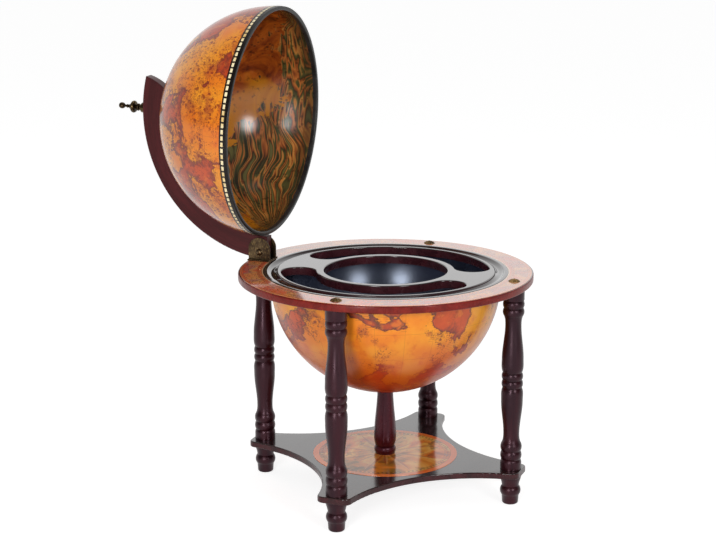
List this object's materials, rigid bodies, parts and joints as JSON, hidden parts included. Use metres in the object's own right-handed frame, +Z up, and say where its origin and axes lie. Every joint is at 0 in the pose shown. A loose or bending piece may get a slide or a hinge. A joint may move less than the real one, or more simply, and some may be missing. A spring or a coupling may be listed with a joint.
{
  "type": "tabletop globe bar",
  "caption": "Tabletop globe bar: the upper half globe swings up on a wooden meridian arm over a tray with a round well and curved bottle slots, on a stand with turned legs and a shelf.",
  "frame": {"origin": "on the table under the middle of the stand, on the axis of the centre column", "axes": "+Z up, +Y to the hinge at the back, -Y to the front, +X to the right as seen from the front"},
  "size_m": [0.422, 0.6329, 0.696],
  "materials": {
    "red_brown_wood": "gloss lacquer over dark red-brown stain",
    "dark_lacquered_board": "high gloss dark lacquer",
    "black_lacquer": "semi-gloss black",
    "printed_paper": "varnished print",
    "dash_paper": "varnished print",
    "printed_globe": "varnished print over pressed pulp shell",
    "painted_lining": "glossy painted lining",
    "aged_brass": "aged, satin",
    "steel": "zinc plated"
  },
  "bodies": {
    "stand": {"leg_left": "red_brown_wood", "leg_front": "red_brown_wood", "leg_right": "red_brown_wood", "leg_back": "red_brown_wood", "foot_left": "red_brown_wood", "foot_front": "red_brown_wood", "foot_right": "red_brown_wood", "foot_back": "red_brown_wood", "foot_studs": "steel", "base_shelf": "dark_lacquered_board", "shelf_print": "printed_paper", "centre_column": "red_brown_wood", "column_screw": "steel", "horizon_ring": "red_brown_wood", "ring_print": "printed_paper", "ring_bolts": "steel", "ring_caps": "aged_brass", "bar_tray": "dark_lacquered_board", "lower_globe": "printed_globe", "bowl_washer": "steel", "bowl_bolt": "steel", "hinge_bracket": "aged_brass", "bracket_screws": "aged_brass", "hinge_bolt": "aged_brass", "hinge_nut": "aged_brass"},
    "arm": {"meridian_arm": "red_brown_wood", "pole_spacer": "aged_brass", "pole_washer": "aged_brass", "pole_nut": "aged_brass", "pole_rod": "steel", "finial": "aged_brass"},
    "globe": {"upper_shell": "printed_globe", "upper_lining": "painted_lining", "upper_rim": "black_lacquer", "dash_band": "dash_paper"}
  },
  "joints": [
    {"name": "lid_hinge", "type": "hinge", "parent": "stand", "child": "arm", "pos_m": [0, 0.1925, 0.339], "axis": [1, 0, 0], "range_deg": [0, 87.5]},
    {"name": "globe_turn", "type": "hinge", "parent": "arm", "child": "globe", "pos_m": [0, 0.17062, 0.53073], "axis": [0, 0.999, 0.0436], "continuous": true}
  ]
}
